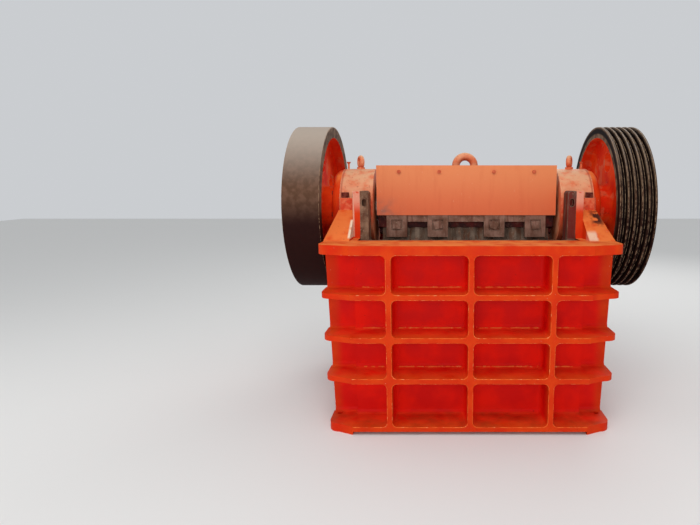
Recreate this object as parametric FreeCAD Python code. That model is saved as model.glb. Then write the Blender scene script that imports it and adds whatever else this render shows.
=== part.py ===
import FreeCAD, Part
import math
import os

# A single-toggle jaw crusher. Millimetres, +Z up, +X towards the belt pulley, -Y is the feed side.
# The origin is on the floor, midway between the four foundation bolts.
# Depths are measured from the front edge of the frame's ribs towards the back.

# --- frame ---
FRAME_DEPTH = 1330.0          # front rib edges to rear rib edges
PAD_HEIGHT = 20.0             # foot pads under the base flange
BASE_FLANGE = 25.0            # thickness of the base flange
FLANGE_TOP = 996.0            # top of the upper flange
FLANGE_THICK = 49.0
RIB_TOPS = (307.0, 524.0, 747.0)
RIB_THICK = 28.0
RIB_DEPTH = 170.0             # how far the end walls' ribs stand out
END_WALL_THICK = 65.0
SEAM_X = 611.0                # where the end walls meet the side castings
RIB_X = (-417.0, 0.0, 417.0)  # vertical ribs on the end walls
CELL_RADIUS = 26.0            # rounding inside every cell of the ribs
SIDE_SETBACK = 30.0           # the side castings' end flanges stand back from the end walls' faces
SIDE_INNER = 600.0            # inner face of the side plates
SIDE_THICK = 40.0
FLANGE_X = 779.0              # outer edge of the upper flange
SIDE_DRAFT = 0.036            # the sides narrow towards the base by this share of the drop
PANEL_INSET = 8.0             # the side castings' end flanges stop this short of the ribs
PANEL_THICK = 50.0
SIDE_RIB_DEPTHS = (455.0, 665.0, 875.0)
SEAM_STEP = 6.0               # the side castings' ribs start this far back at the seam
TIP_SLOPE = 36.0              # and fall back this much more towards their tips
TIP_RADIUS = 55.0
PAD_BACK = 240.0              # depth where a foot pad ends
BOLT_X = 706.0                # foundation bolts
BOLT_DEPTH = 168.0
BOLT_HOLE = 14.0              # hole radius

# --- shaft, housings and their seats ---
SHAFT_DEPTH = 690.0
SHAFT_Z = 1150.0
SHAFT_R = 75.0
THROW = 12.0                  # eccentricity of the shaft's middle
ECCENTRIC_R = 95.0
ECCENTRIC_HALF = 528.0
RUNNING = 0.05                # radial clearance of a running fit
HOUSING_R = 235.0
HOUSING_INNER = 545.0
HOUSING_OUTER = 736.0
CAP_OUTER = 785.0
CAP_R = 226.0
CAP_ROUND = 34.0
LUG_REACH = 280.0             # a housing's lugs reach this far from the shaft axis
LUG_HEIGHT = 68.0
LUG_INNER = 605.0
LUG_OUTER = 728.0
HOUSING_BOLT_X = (635.0, 697.0)
HOUSING_BOLT_REACH = 254.0    # from the shaft axis
HOUSING_BOLT_R = 15.0
HOUSING_BOLT_HEAD = 24.0      # across the corners of the head, as a radius
HOUSING_BOLT_RISE = 30.0
HOUSING_BOLT_TURN = 12.0      # degrees
EYE_RING_R = 26.0             # centre line of a housing's lifting ring
EYE_BAR_R = 15.0
EYE_TURN = 25.0               # degrees that the ring is turned from edge-on
EYE_TOP = 1468.0
EYE_COLLAR_R = 24.0
EYE_SINK = 3.0                # flat cut into the housing for the collar
EYE_COLLAR_HIGH = 14.0
EYE_NECK = 0.8                # a lifting eye's neck, as a share of its ring's bar
CUP_X = 715.0                 # grease cups
CUP_TOP = 1428.0
CUP_RIM_R = 14.0
CUP_STEM_R = 6.0
CUP_SINK = 2.0                # flat cut into the housing for the stem
SEAT_WALL = 45.0              # metal round a housing's seat
SEAT_GAP = 0.3
SEAT_OUTER = 730.0
SEAT_RIB_INSET = 60.0         # from a seat's end to the rib below it
UPRIGHT_FRONT = 340.0         # front edge of the side plate above the flange
UPRIGHT_TOP = 1258.0
UPRIGHT_BACK = 400.0
UPRIGHT_ROUND = 30.0
INCLINE_WEB = 15.0

# --- jaws and liners ---
MOUTH_FRONT = 320.0           # face of the fixed jaw plate
GAPE = 250.0                  # mouth at the top of the moving jaw plate
DISCHARGE = 60.0              # gap at the bottom, with the jaw at its widest
JAW_TOP = 1036.0
JAW_BOTTOM = 250.0
FIXED_TOP = 990.0
FIXED_HALF = 598.0
JAW_HALF = 500.0
PLATE_THICK = 65.0
TOOTH_PITCH = 80.0
TOOTH_DEPTH = 18.0
TOOTH_FLANK = 0.35            # share of the pitch that each flank of a tooth takes
CHEEK_THICK = 47.0
CHEEK_ROUND = 18.0
CHEEK_BACK = 440.0            # back edge of the cheek above the flange
CHEEK_REACH = 640.0           # back edge of the cheek down in the chamber
CHEEK_SHOULDER = 890.0
CHEEK_SPREAD = 80.0           # how far the cheek widens backwards down to its shoulder
CHEEK_SLOT_R = 12.0
CHEEK_SLOT_LENGTH = 18.0
CHEEK_SLOT_DROP = 55.0
CHEEK_SLOT_DEEP = 30.0
LINER_GAP = 1.0
HEAD_R = 168.0
HEAD_HALF = 525.0
HEAD_TANGENT = math.radians(37)        # where the jaw's back leaves the head, from straight down
JAW_BACK = 606.0              # back of the swing jaw's foot
JAW_BACK_TOP = 440.0
COVER_HALF = 528.0
COVER_FRONT = 522.0
COVER_THICK = 8.0
COVER_BOTTOM = 1112.0
COVER_TOP = 1403.0
COVER_BOLT_X = (-395.0, -160.0, 160.0, 395.0)
COVER_BOLT_Z = 1366.0
COVER_BOLT_R = 6.0
COVER_BOLT_HEAD = 12.0
COVER_BOLT_RISE = 8.0
COVER_LUG_HALF = 20.0
COVER_LUG_DEEP = 70.0
COVER_LUG_DROP = 10.0         # the lugs end this far under the cover's top
HEAD_EYE_RING_R = 56.0
HEAD_EYE_BAR_R = 24.0
HEAD_EYE_TOP = 1484.0
HEAD_EYE_COLLAR_R = 46.0
HEAD_EYE_SINK = 8.0           # flat cut into the head for the collar
BAR_HALF = 472.0              # clamp bar over the top of the moving jaw plate
BAR_FRONT = 530.0
BAR_BACK = 575.0
BAR_BOTTOM = 1072.0
BAR_TOP = 1111.0
CLAMP_LUG_FRONT = 524.0
CLAMP_LUG_BOTTOM = 981.0
CLAMP_LUG_SPANS = ((-472.0, -349.0), (-229.0, -106.0), (106.0, 229.0), (349.0, 472.0))
CLAMP_BOLT_Z = 1054.0
CLAMP_BOLT_HEAD = 46.0
CLAMP_BOLT_RISE = 12.0
CLAMP_BOLT_R = 12.0
CLAMP_BOLT_GRIP = 40.0        # length of a clamp bolt inside the casting
CLAMP_RECESS = 62.0
CLAMP_RECESS_DEEP = 8.0
CLAMP_BOLT_TURNS = (4.0, -14.0, 24.0, -6.0)

# --- toggle, rods and springs ---
TOGGLE_Z = 350.0              # height of the toggle plate's front nose
TOGGLE_LENGTH = 330.0
TOGGLE_DROP = 40.0
TOGGLE_THICK = 40.0
TOGGLE_HALF = 430.0
NOSE_GAP = 0.3
SEAT_BLOCK = 40.0             # depth of a toggle seat
SEAT_HEIGHT = 110.0
FRONT_GROOVE_R = 34.0         # wide enough for the nose to wander with the jaw
NOSE_SINK = 14.0              # how deep a nose sits in a seat
SHIM_THICK = 25.0
BLOCK_HEIGHT = 170.0
ROD_X = 208.0
ROD_Z = 160.0
ROD_R = 18.0
ROD_REACH = 170.0             # the rods end this far behind the frame
ROD_LUG_HALF = 30.0
ROD_LUG_DEEP = 60.0
NUT_R = 30.0
NUT_LONG = 24.0
SPRING_R = 52.0
SPRING_INNER = 30.0
SPRING_REACH = 100.0          # and the springs this far
WASHER_R = 58.0
WASHER_THICK = 12.0
CUP_DEEP = 110.0              # the cups on the rear wall that the springs work in
CUP_FLOOR = 12.0
CUP_WALL = 8.0
SWING_CLEAR = 6.0             # room left beyond the throw round the rods and springs

# --- wheels ---
WHEEL_R = 485.0
WHEEL_INNER = 797.0
WHEEL_OUTER = 996.0
RIM_THICK = 65.0
WEB_THICK = 42.0
WEB_FILLET = 24.0
HUB_R = 132.0
HUB_INNER = 791.0
HUB_OUTER = 985.0
END_PLATE_R = 108.0
WEB_HOLE_R = 62.0
WEB_HOLES = 6
GROOVES = 5
GROOVE_PITCH = 37.0
GROOVE_TOP = 30.0
GROOVE_BOTTOM = 19.0
GROOVE_DEPTH = 30.0
OUTER_RIDGE = 8.0             # rim left outside the last groove

# --- derived ---
FRONT = -FRAME_DEPTH / 2
WALL_BACK = RIB_DEPTH + END_WALL_THICK
PANEL_FACE = RIB_DEPTH + SIDE_SETBACK
PANEL_BACK = PANEL_FACE + PANEL_THICK
SIDE_OUTER = SIDE_INNER + SIDE_THICK
CHEEK_INNER = SIDE_INNER - CHEEK_THICK
BASE_TOP = PAD_HEIGHT + BASE_FLANGE
REAR_WALL_FRONT = FRAME_DEPTH - WALL_BACK
REAR_WALL_FACE = FRAME_DEPTH - RIB_DEPTH
FRONT_SEAT = SHAFT_DEPTH - LUG_REACH
BACK_SEAT = SHAFT_DEPTH + LUG_REACH
AXIS_DEPTH = SHAFT_DEPTH + THROW       # axis of the eccentric, at rest behind the shaft axis
NOSE_R = TOGGLE_THICK / 2
ROD_END = FRAME_DEPTH + ROD_REACH
SPRING_END = FRAME_DEPTH + SPRING_REACH
NOSE_DEPTH = JAW_BACK + SEAT_BLOCK - NOSE_SINK + NOSE_R + NOSE_GAP
JAW_SLOPE = math.atan2(GAPE - DISCHARGE, JAW_TOP - JAW_BOTTOM)
JAW_LENGTH = (JAW_TOP - JAW_BOTTOM) / math.cos(JAW_SLOPE)
RIB_LEVELS = ((PAD_HEIGHT, BASE_TOP),) + tuple((z - RIB_THICK, z) for z in RIB_TOPS)
RIB_LEVELS += ((FLANGE_TOP - FLANGE_THICK, FLANGE_TOP),)
CELL_ROWS = tuple((low[1], high[0]) for low, high in zip(RIB_LEVELS[:-1], RIB_LEVELS[1:]))
BEYOND = 400.0                         # how far a cutting tool runs past the metal
ALONG_X = FreeCAD.Vector(1, 0, 0)
ALONG_Y = FreeCAD.Vector(0, 1, 0)
ALONG_Z = FreeCAD.Vector(0, 0, 1)
ORIGIN = FreeCAD.Vector(0, 0, 0)


# --- shapes ---
def vec(x, depth, z):
    return FreeCAD.Vector(x, FRONT + depth, z)


def block(x0, x1, d0, d1, z0, z1):
    return Part.makeBox(x1 - x0, d1 - d0, z1 - z0, vec(x0, d0, z0))


def rod_x(x0, x1, depth, z, radius):
    return Part.makeCylinder(radius, x1 - x0, vec(x0, depth, z), ALONG_X)


def rod_y(x, d0, d1, z, radius):
    return Part.makeCylinder(radius, d1 - d0, vec(x, d0, z), ALONG_Y)


def rod_z(x, depth, z0, z1, radius):
    return Part.makeCylinder(radius, z1 - z0, vec(x, depth, z0), ALONG_Z)


def prism_x(x0, x1, outline):
    """A solid from an outline of (depth, z) points, between two X planes."""
    points = [vec(x0, d, z) for d, z in outline]
    return Part.Face(Part.makePolygon(points + points[:1])).extrude(ALONG_X * (x1 - x0))


def prism_z(z0, z1, outline):
    """A solid from an outline of (x, depth) points, between two Z planes."""
    points = [vec(x, d, z0) for x, d in outline]
    return Part.Face(Part.makePolygon(points + points[:1])).extrude(ALONG_Z * (z1 - z0))


def prism_y(d0, d1, outline):
    """A solid from an outline of (x, z) points, between two depths."""
    points = [vec(x, d0, z) for x, z in outline]
    return Part.Face(Part.makePolygon(points + points[:1])).extrude(ALONG_Y * (d1 - d0))


def turned(profile):
    """A solid of revolution about the shaft axis, from (x, radius) points."""
    points = [vec(x, SHAFT_DEPTH, SHAFT_Z + r) for x, r in profile]
    face = Part.Face(Part.makePolygon(points + points[:1]))
    return face.revolve(vec(0, SHAFT_DEPTH, SHAFT_Z), ALONG_X, 360)


def hex_bar(radius, start, length, direction, turn=0.0):
    """A six-sided bar with its corners at a radius, from a start point along a direction."""
    corners = [FreeCAD.Vector(radius * math.cos(math.radians(60 * i + turn)),
                              radius * math.sin(math.radians(60 * i + turn)), 0) for i in range(6)]
    bar = Part.Face(Part.makePolygon(corners + corners[:1])).extrude(ALONG_Z * length)
    bar.Placement = FreeCAD.Placement(start, FreeCAD.Rotation(ALONG_Z, direction))
    return bar


def other_side(shape):
    """The same shape on the left of the machine."""
    return shape.mirror(ORIGIN, ALONG_X)


def other_end(shape):
    """The same shape at the other end of the frame."""
    return shape.mirror(ORIGIN, ALONG_Y)


def fillet_where(shape, radius, wanted):
    return shape.makeFillet(radius, [edge for edge in shape.Edges if wanted(edge)])


def is_along(edge, axis):
    ends = [vertex.Point for vertex in edge.Vertexes]
    return len(ends) == 2 and abs(ends[1].sub(ends[0]).normalize().dot(axis)) > 0.999


# --- end walls and side castings ---
def side_reach(z):
    """|X| of the ribs' outer edges at a height."""
    return FLANGE_X - (FLANGE_TOP - z) * SIDE_DRAFT


def end_cell(x0, x1, z0, z1):
    """Cutting tool for a cell in an end wall, open to the front and rounded everywhere else."""
    tool = block(x0, x1, -BEYOND, RIB_DEPTH, z0, z1)
    mouth = FRONT - BEYOND
    return fillet_where(tool, CELL_RADIUS, lambda edge: abs(edge.CenterOfMass.y - mouth) > 1)


def side_cell(d0, d1, z0, z1):
    """Cutting tool for a cell in a side casting, open to the right."""
    mouth = FLANGE_X + BEYOND
    tool = block(SIDE_OUTER, mouth, d0, d1, z0, z1)
    return fillet_where(tool, CELL_RADIUS, lambda edge: abs(edge.CenterOfMass.x - mouth) > 1)


def corner_cell(z0, z1):
    """Cutting tool for the open cell at the front corner of a side casting."""
    tool = block(SEAM_X - BEYOND, FLANGE_X + BEYOND, -BEYOND, PANEL_FACE, z0, z1)
    back = FRONT + PANEL_FACE

    def is_back(edge):
        return is_along(edge, ALONG_X) and abs(edge.CenterOfMass.y - back) < 1

    return fillet_where(tool, CELL_RADIUS, is_back)


def front_wall():
    solid = block(-SEAM_X, SEAM_X, 0, WALL_BACK, PAD_HEIGHT, FLANGE_TOP)
    half = RIB_THICK / 2
    ribs = (-SEAM_X - BEYOND,) + RIB_X + (SEAM_X + BEYOND,)
    cells = [end_cell(left + half, right - half, z0, z1)
             for z0, z1 in CELL_ROWS for left, right in zip(ribs[:-1], ribs[1:])]
    return solid.cut(cells)


def rear_wall():
    solid = other_end(front_wall())
    for side in (-1, 1):
        passage = ROD_R + THROW + SWING_CLEAR
        solid = solid.cut(rod_y(side * ROD_X, REAR_WALL_FRONT - 1, FRAME_DEPTH, ROD_Z, passage))
    return solid


def corner_plan(z0, z1, reach):
    """The ribs' plan at a front corner: it falls back from the seam and is rounded at the tip."""
    shoulder_x = reach - TIP_RADIUS
    tip_depth = SEAM_STEP + TIP_SLOPE
    bend = math.sqrt(0.5) * TIP_RADIUS
    start = vec(SEAM_X, SEAM_STEP, z0)
    shoulder = vec(shoulder_x, tip_depth, z0)
    middle = vec(shoulder_x + bend, tip_depth + TIP_RADIUS - bend, z0)
    side = vec(reach, tip_depth + TIP_RADIUS, z0)
    far = vec(reach, PANEL_FACE + 1, z0)
    near = vec(SEAM_X, PANEL_FACE + 1, z0)
    edges = [Part.makeLine(start, shoulder), Part.Arc(shoulder, middle, side).toShape(),
             Part.makeLine(side, far), Part.makeLine(far, near), Part.makeLine(near, start)]
    return Part.Face(Part.Wire(edges)).extrude(ALONG_Z * (z1 - z0))


def corner():
    """A side casting's front end: a flange plate, its shelves and the foot pad."""
    middles = [(z0 + z1) / 2 for z0, z1 in CELL_ROWS]
    levels = [PAD_HEIGHT] + middles + [FLANGE_TOP]
    tops = (BASE_TOP,) + RIB_TOPS + (FLANGE_TOP,)
    slabs = [corner_plan(low, high, side_reach(top))
             for low, high, top in zip(levels[:-1], levels[1:], tops)]
    beyond_plate = [prism_y(0, PANEL_FACE + 2, ((side_reach(z0) - PANEL_INSET, z0), (FLANGE_X + BEYOND, z0),
                                            (FLANGE_X + BEYOND, z1), (side_reach(z1) - PANEL_INSET, z1)))
                    for z0, z1 in CELL_ROWS]
    shelves = slabs[0].fuse(slabs[1:]).cut([corner_cell(z0, z1) for z0, z1 in CELL_ROWS] + beyond_plate)
    plate = prism_y(PANEL_FACE, PANEL_BACK, (
        (SEAM_X, PAD_HEIGHT), (side_reach(PAD_HEIGHT) - PANEL_INSET, PAD_HEIGHT),
        (FLANGE_X - PANEL_INSET, FLANGE_TOP), (SEAM_X, FLANGE_TOP)))
    foot = side_reach(BASE_TOP)
    pad = corner_plan(0, PAD_HEIGHT, foot).fuse(block(SEAM_X, foot, PANEL_FACE, PAD_BACK, 0, PAD_HEIGHT))
    return shelves.fuse([plate, pad])


def side_ribs():
    """The ribbed face of a side casting, between its two end flanges."""
    far_end = FRAME_DEPTH - PANEL_BACK
    solid = block(SIDE_OUTER - 1, FLANGE_X, PANEL_BACK - 1, far_end + 1, PAD_HEIGHT, FLANGE_TOP)
    half = RIB_THICK / 2
    ribs = (PANEL_BACK - half,) + SIDE_RIB_DEPTHS + (far_end + half,)
    cells = [side_cell(near + half, far - half, z0, z1)
             for z0, z1 in CELL_ROWS for near, far in zip(ribs[:-1], ribs[1:])]
    draft = prism_y(0, FRAME_DEPTH, ((FLANGE_X, FLANGE_TOP), (FLANGE_X + BEYOND, FLANGE_TOP),
                                     (FLANGE_X + BEYOND, 0), (side_reach(0), 0)))
    return solid.cut(cells + [draft])


def bearing_seat():
    """Sloping flanges, webs and the cradle that carry a housing."""
    back = FRAME_DEPTH - PANEL_FACE
    under = FLANGE_TOP - FLANGE_THICK
    ridge = ((PANEL_FACE, FLANGE_TOP), (FRONT_SEAT, SHAFT_Z), (BACK_SEAT, SHAFT_Z), (back, FLANGE_TOP))
    web = prism_x(SIDE_INNER, SIDE_OUTER + INCLINE_WEB, ridge + ((back, under), (PANEL_FACE, under)))
    web = web.cut(block(SIDE_INNER - 1, SIDE_OUTER, 0, UPRIGHT_FRONT, FLANGE_TOP, SHAFT_Z + 1))
    web = web.cut(block(SIDE_INNER - 1, FLANGE_X, 0, WALL_BACK, under - 1, FLANGE_TOP))
    web = web.cut(block(SIDE_INNER - 1, SEAM_X, REAR_WALL_FRONT, FRAME_DEPTH, under - 1, SHAFT_Z))
    flange = prism_x(SIDE_OUTER, FLANGE_X, ridge)
    hollow = ((PANEL_FACE + SEAT_WALL, FLANGE_TOP - SEAT_WALL), (FRONT_SEAT, SHAFT_Z - SEAT_WALL),
              (BACK_SEAT, SHAFT_Z - SEAT_WALL), (back - SEAT_WALL, FLANGE_TOP - SEAT_WALL))
    flange = flange.cut(prism_x(SIDE_OUTER - 1, FLANGE_X + 1, hollow))
    cradle = rod_x(SIDE_OUTER, FLANGE_X, SHAFT_DEPTH, SHAFT_Z, HOUSING_R + SEAT_WALL)
    cradle = cradle.common(block(SIDE_OUTER, FLANGE_X, 0, FRAME_DEPTH, under, SHAFT_Z))
    half = RIB_THICK / 2
    ribs = [block(SIDE_OUTER, FLANGE_X, d - half, d + half, under, SHAFT_Z - 1)
            for d in (FRONT_SEAT + SEAT_RIB_INSET, BACK_SEAT - SEAT_RIB_INSET)]
    solid = web.fuse([flange, cradle] + ribs)
    taper = ((FLANGE_X, PANEL_FACE), (SEAT_OUTER, FRONT_SEAT), (SEAT_OUTER, BACK_SEAT), (FLANGE_X, back),
             (FLANGE_X + BEYOND, back), (FLANGE_X + BEYOND, PANEL_FACE))
    return solid.cut(prism_z(FLANGE_TOP, SHAFT_Z + 1, taper))


def upright():
    """The side plate that rises ahead of a housing and guards the feed mouth."""
    plate = block(SIDE_INNER, SIDE_OUTER, UPRIGHT_FRONT, UPRIGHT_BACK, FLANGE_TOP - 1, UPRIGHT_TOP)
    back = FRONT + UPRIGHT_BACK

    def is_top_back(edge):
        point = edge.CenterOfMass
        return abs(point.y - back) < 0.01 and abs(point.z - UPRIGHT_TOP) < 0.01

    return fillet_where(plate, UPRIGHT_ROUND, is_top_back)


def side_wall():
    """The right-hand side casting."""
    plate = block(SIDE_INNER, SIDE_OUTER, WALL_BACK, REAR_WALL_FRONT, PAD_HEIGHT, FLANGE_TOP)
    front_corner = corner()
    solid = side_ribs().fuse([plate, bearing_seat(), upright(), front_corner, other_end(front_corner)])
    solid = solid.cut(rod_x(SIDE_INNER - 1, FLANGE_X, SHAFT_DEPTH, SHAFT_Z, HOUSING_R + SEAT_GAP))
    bolt_holes = [rod_z(BOLT_X, depth, -1, BASE_TOP + 1, BOLT_HOLE)
                  for depth in (BOLT_DEPTH, FRAME_DEPTH - BOLT_DEPTH)]
    return solid.cut(bolt_holes).removeSplitter()


# --- jaws and liners ---
def toothed_plate(half, back, facing, thick, z0, z1):
    """An upright jaw plate with teeth along Z: its back at a depth, its face towards +Y or -Y."""
    count = int(2 * half // TOOTH_PITCH)
    pitch = 2 * half / count
    valley = back + facing * (thick - TOOTH_DEPTH)
    crest = back + facing * thick
    outline = [(-half, back), (half, back)]
    for i in range(count):
        x = half - i * pitch
        outline += [(x, valley), (x - TOOTH_FLANK * pitch, crest), (x - (1 - TOOTH_FLANK) * pitch, crest)]
    outline.append((-half, valley))
    return prism_z(z0, z1, outline)


def fixed_jaw_plate():
    return toothed_plate(FIXED_HALF, WALL_BACK, 1, MOUTH_FRONT - WALL_BACK, JAW_BOTTOM, FIXED_TOP)


def jaw_point(height, behind):
    """(depth, z) of a point behind the moving jaw's face, at a height up the face."""
    depth = MOUTH_FRONT + DISCHARGE + height * math.sin(JAW_SLOPE) + behind * math.cos(JAW_SLOPE)
    return depth, JAW_BOTTOM + height * math.cos(JAW_SLOPE) - behind * math.sin(JAW_SLOPE)


def moving_jaw_plate():
    plate = toothed_plate(JAW_HALF, -FRONT, -1, PLATE_THICK, 0, JAW_LENGTH)
    plate.rotate(ORIGIN, ALONG_X, -math.degrees(JAW_SLOPE))
    depth, z = jaw_point(0, PLATE_THICK)
    plate.translate(FreeCAD.Vector(0, FRONT + depth, z))
    return plate


def cheek_plate():
    """The right-hand wear plate on the inside of a side casting."""
    top = UPRIGHT_TOP
    start = MOUTH_FRONT + LINER_GAP
    outline = ((start, JAW_BOTTOM), (start, FIXED_TOP), (UPRIGHT_FRONT, FIXED_TOP), (UPRIGHT_FRONT, top),
               (CHEEK_BACK, top), (CHEEK_BACK, FLANGE_TOP), (CHEEK_BACK + CHEEK_SPREAD, CHEEK_SHOULDER),
               (CHEEK_REACH, CHEEK_SHOULDER), (CHEEK_REACH, JAW_BOTTOM))
    plate = prism_x(CHEEK_INNER, SIDE_INNER, outline)

    def is_inner_top(edge):
        point = edge.CenterOfMass
        return abs(point.z - top) < 0.01 and abs(point.x - CHEEK_INNER) < 0.01

    plate = fillet_where(plate, CHEEK_ROUND, is_inner_top)
    middle = (CHEEK_INNER + SIDE_INNER) / 2
    slot_top = top - CHEEK_SLOT_DROP
    slot_bottom = slot_top - CHEEK_SLOT_LENGTH
    slot = block(middle - CHEEK_SLOT_R, middle + CHEEK_SLOT_R, UPRIGHT_FRONT - 1,
                 UPRIGHT_FRONT + CHEEK_SLOT_DEEP, slot_bottom, slot_top)
    ends = [rod_y(middle, UPRIGHT_FRONT - 1, UPRIGHT_FRONT + CHEEK_SLOT_DEEP, z, CHEEK_SLOT_R)
            for z in (slot_bottom, slot_top)]
    return plate.cut([slot] + ends)


def swing_jaw():
    """One casting: the head round the eccentric, the body behind the jaw plate, lugs for cover and rods."""
    ledge = jaw_point(JAW_LENGTH + LINER_GAP, PLATE_THICK)
    foot = jaw_point(0, PLATE_THICK)
    back = (AXIS_DEPTH + HEAD_R * math.sin(HEAD_TANGENT), SHAFT_Z - HEAD_R * math.cos(HEAD_TANGENT))
    front = ((BAR_BACK, JAW_TOP + LINER_GAP), ledge, foot)
    body = prism_x(-JAW_HALF, JAW_HALF, ((BAR_BACK, BAR_TOP),) + front + (
        (JAW_BACK, foot[1]), (JAW_BACK, JAW_BACK_TOP), back))
    cover_back = COVER_FRONT + COVER_THICK
    cover_lugs = [block(x - COVER_LUG_HALF, x + COVER_LUG_HALF, cover_back, cover_back + COVER_LUG_DEEP,
                        SHAFT_Z, COVER_TOP - COVER_LUG_DROP) for x in COVER_BOLT_X]
    rod_lugs = [block(side * ROD_X - ROD_LUG_HALF, side * ROD_X + ROD_LUG_HALF, JAW_BACK - ROD_LUG_DEEP,
                      JAW_BACK, ROD_Z - ROD_LUG_HALF, foot[1] + 1) for side in (-1, 1)]
    head = rod_x(-HEAD_HALF, HEAD_HALF, AXIS_DEPTH, SHAFT_Z, HEAD_R)
    solid = head.fuse([body] + cover_lugs + rod_lugs)
    ahead = prism_x(-HEAD_HALF - 1, HEAD_HALF + 1, ((0, COVER_BOTTOM), (BAR_BACK, COVER_BOTTOM)) + front + (
        (0, foot[1]),))
    head_top = SHAFT_Z + HEAD_R
    cuts = [ahead, rod_x(-HEAD_HALF - 1, HEAD_HALF + 1, AXIS_DEPTH, SHAFT_Z, ECCENTRIC_R + RUNNING),
            rod_z(0, AXIS_DEPTH, head_top - HEAD_EYE_SINK, head_top + 1, HEAD_EYE_COLLAR_R + 1)]
    cuts += [rod_y(side * ROD_X, JAW_BACK - ROD_LUG_DEEP - 1, JAW_BACK + 1, ROD_Z, ROD_R + RUNNING)
             for side in (-1, 1)]
    cuts += [rod_y((low + high) / 2, BAR_BACK - 1, BAR_BACK + CLAMP_BOLT_GRIP, CLAMP_BOLT_Z, CLAMP_BOLT_R)
             for low, high in CLAMP_LUG_SPANS]
    cuts += [rod_y(x, COVER_FRONT, cover_back + COVER_LUG_DEEP / 2, COVER_BOLT_Z, COVER_BOLT_R)
             for x in COVER_BOLT_X]
    return solid.cut(cuts).removeSplitter()


def jaw_clamp_bar():
    """The bar whose four lugs hook over the moving jaw plate."""
    bar = block(-BAR_HALF, BAR_HALF, BAR_FRONT, BAR_BACK, BAR_BOTTOM, BAR_TOP)
    face_top = jaw_point(JAW_LENGTH, -LINER_GAP)
    fall = (face_top[1] - CLAMP_LUG_BOTTOM) * math.tan(JAW_SLOPE)
    hook = ((CLAMP_LUG_FRONT, BAR_TOP), (BAR_BACK, BAR_TOP), (BAR_BACK, JAW_TOP + 2 * LINER_GAP),
            (face_top[0], JAW_TOP + 2 * LINER_GAP), (face_top[0] - fall, CLAMP_LUG_BOTTOM),
            (CLAMP_LUG_FRONT, CLAMP_LUG_BOTTOM))
    solid = bar.fuse([prism_x(low, high, hook) for low, high in CLAMP_LUG_SPANS])
    half = CLAMP_RECESS / 2
    for low, high in CLAMP_LUG_SPANS:
        x = (low + high) / 2
        recess = block(x - half, x + half, 0, CLAMP_LUG_FRONT + CLAMP_RECESS_DEEP,
                       CLAMP_BOLT_Z - half, CLAMP_BOLT_Z + half)
        solid = solid.cut([recess, rod_y(x, 0, BAR_BACK + 1, CLAMP_BOLT_Z, CLAMP_BOLT_R)])
    return solid.removeSplitter()


def clamp_bolts():
    """Square-headed bolts, each turned as it was tightened."""
    bolts = []
    seat = CLAMP_LUG_FRONT + CLAMP_RECESS_DEEP
    half = CLAMP_BOLT_HEAD / 2
    for (low, high), turn in zip(CLAMP_LUG_SPANS, CLAMP_BOLT_TURNS):
        x = (low + high) / 2
        head = block(x - half, x + half, seat - CLAMP_BOLT_RISE, seat,
                     CLAMP_BOLT_Z - half, CLAMP_BOLT_Z + half)
        head.rotate(vec(x, seat, CLAMP_BOLT_Z), ALONG_Y, turn)
        bolts.append(head.fuse(rod_y(x, seat - 1, BAR_BACK + CLAMP_BOLT_GRIP, CLAMP_BOLT_Z, CLAMP_BOLT_R)))
    return Part.makeCompound(bolts)


def head_cover():
    plate = block(-COVER_HALF, COVER_HALF, COVER_FRONT, COVER_FRONT + COVER_THICK, COVER_BOTTOM, COVER_TOP)
    return plate.cut([rod_y(x, COVER_FRONT - 1, COVER_FRONT + COVER_THICK + 1, COVER_BOLT_Z, COVER_BOLT_R)
                      for x in COVER_BOLT_X])


def cover_bolts():
    bolts = []
    shank = COVER_THICK + COVER_LUG_DEEP / 2
    for x in COVER_BOLT_X:
        head = hex_bar(COVER_BOLT_HEAD, vec(x, COVER_FRONT - COVER_BOLT_RISE, COVER_BOLT_Z),
                       COVER_BOLT_RISE, ALONG_Y)
        bolts.append(head.fuse(rod_y(x, COVER_FRONT - 1, COVER_FRONT + shank, COVER_BOLT_Z, COVER_BOLT_R)))
    return Part.makeCompound(bolts)


def lifting_eye(x, depth, seat, collar_r, ring_r, bar_r, top, turn):
    """A forged ring on a round collar. The ring faces the front, then turns about Z."""
    centre = vec(x, depth, top - ring_r - bar_r)
    ring = Part.makeTorus(ring_r, bar_r, centre, ALONG_Y)
    ring.rotate(centre, ALONG_Z, turn)
    collar = rod_z(x, depth, seat, seat + EYE_COLLAR_HIGH, collar_r)
    neck = rod_z(x, depth, seat, top - 2 * ring_r - bar_r, EYE_NECK * bar_r)
    return collar.fuse([neck, ring])


# --- housings ---
def bearing_housing():
    solid = rod_x(HOUSING_INNER, HOUSING_OUTER, SHAFT_DEPTH, SHAFT_Z, HOUSING_R)
    lugs = block(LUG_INNER, LUG_OUTER, FRONT_SEAT, BACK_SEAT, SHAFT_Z, SHAFT_Z + LUG_HEIGHT)
    solid = solid.fuse(lugs)
    cuts = [rod_x(HOUSING_INNER - 1, HOUSING_OUTER + 1, SHAFT_DEPTH, SHAFT_Z, SHAFT_R + RUNNING)]
    cuts += [rod_z(x, SHAFT_DEPTH + way * HOUSING_BOLT_REACH, SHAFT_Z - 1, SHAFT_Z + HOUSING_R,
                   HOUSING_BOLT_R)
             for x in HOUSING_BOLT_X for way in (-1, 1)]
    top = SHAFT_Z + HOUSING_R
    cuts += [rod_z(housing_middle(), SHAFT_DEPTH, top - EYE_SINK, top + 1, EYE_COLLAR_R + 1),
             rod_z(CUP_X, SHAFT_DEPTH, top - CUP_SINK, top + 1, CUP_RIM_R)]
    return solid.cut(cuts).removeSplitter()


def housing_middle():
    return (HOUSING_INNER + HOUSING_OUTER) / 2


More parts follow.
